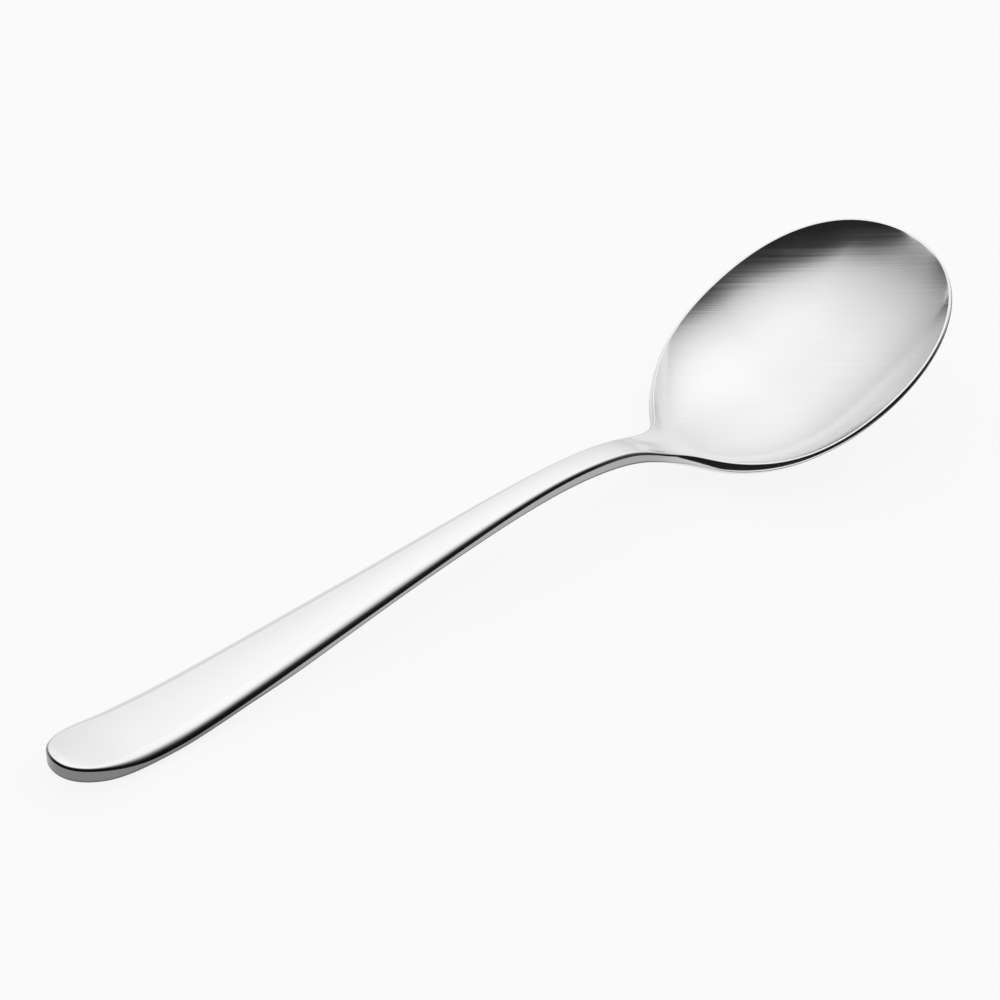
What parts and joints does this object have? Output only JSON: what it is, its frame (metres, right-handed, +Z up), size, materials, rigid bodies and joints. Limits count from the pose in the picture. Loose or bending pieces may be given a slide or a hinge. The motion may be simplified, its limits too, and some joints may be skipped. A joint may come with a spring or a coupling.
{
  "type": "soup spoon",
  "caption": "Soup spoon of polished stainless steel with a broad egg-shaped bowl, a slim arched neck and a flat handle that widens to a round end.",
  "frame": {"origin": "on the table that the spoon lies on, below the middle of its length and width", "axes": "+X along the spoon from the handle end to the tip of the bowl, +Z up out of the open bowl"},
  "size_m": [0.1912, 0.047, 0.0232],
  "materials": {
    "polished_steel": "mirror polished, with fine polishing lines inside the bowl"
  },
  "bodies": {
    "root": {"spoon": "polished_steel"}
  },
  "joints": []
}
